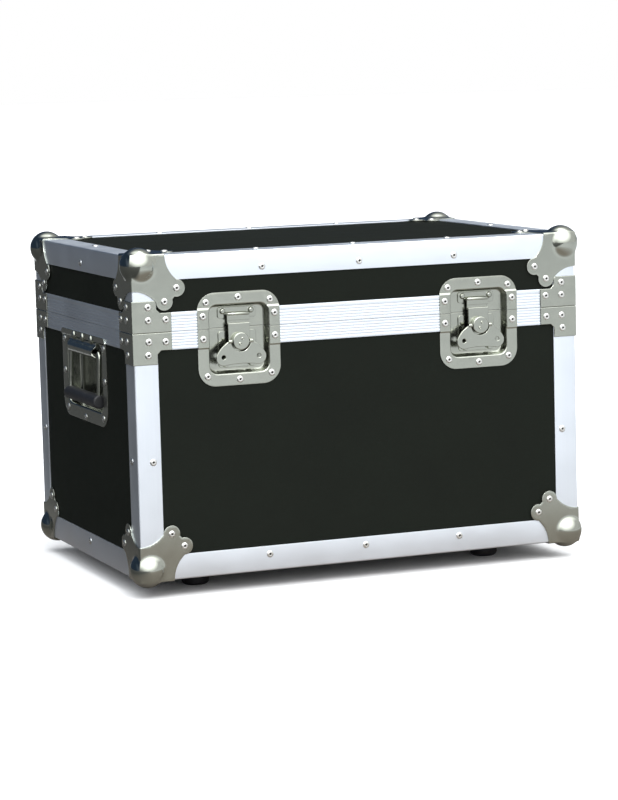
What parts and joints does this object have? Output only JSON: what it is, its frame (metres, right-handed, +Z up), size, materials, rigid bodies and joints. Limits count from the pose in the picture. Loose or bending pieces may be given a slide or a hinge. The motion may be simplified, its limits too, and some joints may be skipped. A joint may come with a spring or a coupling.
{
  "type": "hard equipment case",
  "caption": "Black panelled equipment flight case with aluminium edging, ball corners, recessed butterfly latches, recessed end handles and a hinged lid.",
  "frame": {"origin": "on the plane of the feet's undersides, under the middle of the case's bounding box", "axes": "+X to the right along the width, seen from the front; +Y from the front (latches) to the back (hinges); +Z up"},
  "size_m": [0.596, 0.4148, 0.4184],
  "materials": {
    "laminate": "black laminated plywood, fine satin grain",
    "edging": "satin anodised",
    "corner_steel": "bright zinc plated, pressed",
    "dish_steel": "bright zinc plated, pressed",
    "latch_steel": "bright zinc plated",
    "rod_steel": "bright plated rod",
    "hinge_steel": "bright zinc plated",
    "rivet": "bright pop-rivet heads",
    "grip_rubber": "black moulded rubber",
    "foot_rubber": "black moulded rubber",
    "screw": "plain zinc"
  },
  "bodies": {
    "base": {"base_bottom_panel": "laminate", "base_front_panel": "laminate", "base_back_panel": "laminate", "base_left_panel": "laminate", "base_right_panel": "laminate", "base_bottom_edges": "edging", "base_upright_edges": "edging", "base_rim": "edging", "base_ball_corners": "corner_steel", "base_corner_braces": "corner_steel", "left_latch_lower_dish": "dish_steel", "left_latch_base_plate": "latch_steel", "left_handle_dish": "dish_steel", "left_handle_cover": "dish_steel", "left_handle_spring": "rod_steel", "left_hinge_base_leaf": "hinge_steel", "left_hinge_pin": "hinge_steel", "right_latch_lower_dish": "dish_steel", "right_latch_base_plate": "latch_steel", "right_handle_dish": "dish_steel", "right_handle_cover": "dish_steel", "right_handle_spring": "rod_steel", "right_hinge_base_leaf": "hinge_steel", "right_hinge_pin": "hinge_steel", "feet": "foot_rubber", "foot_screws": "screw", "base_rivets": "rivet"},
    "lid": {"lid_top_panel": "laminate", "lid_front_panel": "laminate", "lid_back_panel": "laminate", "lid_left_panel": "laminate", "lid_right_panel": "laminate", "lid_top_edges": "edging", "lid_upright_edges": "edging", "lid_rim": "edging", "lid_ball_corners": "corner_steel", "lid_corner_braces": "corner_steel", "left_latch_upper_dish": "dish_steel", "left_latch_keeper": "latch_steel", "left_hinge_lid_leaf": "hinge_steel", "right_latch_upper_dish": "dish_steel", "right_latch_keeper": "latch_steel", "right_hinge_lid_leaf": "hinge_steel", "lid_rivets": "rivet"},
    "left_latch_rotor_set": {"left_latch_rotor": "latch_steel", "left_latch_wing_pin": "latch_steel"},
    "left_latch_hook_plate": {"left_latch_hook": "latch_steel"},
    "left_latch_wing_plate": {"left_latch_wing": "latch_steel"},
    "left_handle": {"left_handle_bail": "rod_steel", "left_handle_grip": "grip_rubber"},
    "right_latch_rotor_set": {"right_latch_rotor": "latch_steel", "right_latch_wing_pin": "latch_steel"},
    "right_latch_hook_plate": {"right_latch_hook": "latch_steel"},
    "right_latch_wing_plate": {"right_latch_wing": "latch_steel"},
    "right_handle": {"right_handle_bail": "rod_steel", "right_handle_grip": "grip_rubber"}
  },
  "joints": [
    {"name": "lid_hinge", "type": "hinge", "parent": "base", "child": "lid", "pos_m": [0, 0.2025, 0.3183], "axis": [-1, 0, 0], "range_deg": [0, 100]},
    {"name": "left_latch_turn", "type": "hinge", "parent": "base", "child": "left_latch_rotor_set", "pos_m": [-0.1557, -0.1985, 0.3023], "axis": [0, -1, 0], "range_deg": [0, 180]},
    {"name": "left_latch_slide", "type": "slide", "parent": "base", "child": "left_latch_hook_plate", "axis": [0, 0, 1], "range_m": [0, 0.003]},
    {"name": "left_latch_fold", "type": "hinge", "parent": "left_latch_rotor_set", "child": "left_latch_wing_plate", "pos_m": [-0.1557, -0.201, 0.3023], "axis": [-1, 0, 0], "range_deg": [0, 90]},
    {"name": "right_latch_turn", "type": "hinge", "parent": "base", "child": "right_latch_rotor_set", "pos_m": [0.1577, -0.1985, 0.3023], "axis": [0, -1, 0], "range_deg": [0, 180]},
    {"name": "right_latch_slide", "type": "slide", "parent": "base", "child": "right_latch_hook_plate", "axis": [0, 0, 1], "range_m": [0, 0.003]},
    {"name": "right_latch_fold", "type": "hinge", "parent": "right_latch_rotor_set", "child": "right_latch_wing_plate", "pos_m": [0.1577, -0.201, 0.3023], "axis": [-1, 0, 0], "range_deg": [0, 90]},
    {"name": "left_handle_swing", "type": "hinge", "parent": "base", "child": "left_handle", "pos_m": [-0.2867, 0, 0.2835], "axis": [0, 1, 0], "range_deg": [0, 87], "stiffness_Nm_per_rad": 0.15, "springref_deg": -17.19},
    {"name": "right_handle_swing", "type": "hinge", "parent": "base", "child": "right_handle", "pos_m": [0.2867, 0, 0.2835], "axis": [0, -1, 0], "range_deg": [0, 87], "stiffness_Nm_per_rad": 0.15, "springref_deg": -17.19}
  ],
  "couplings": [
    {"joint": "left_latch_slide", "follows": "left_latch_turn", "m_per_rad": 0.00095492},
    {"joint": "right_latch_slide", "follows": "right_latch_turn", "m_per_rad": 0.00095492}
  ]
}
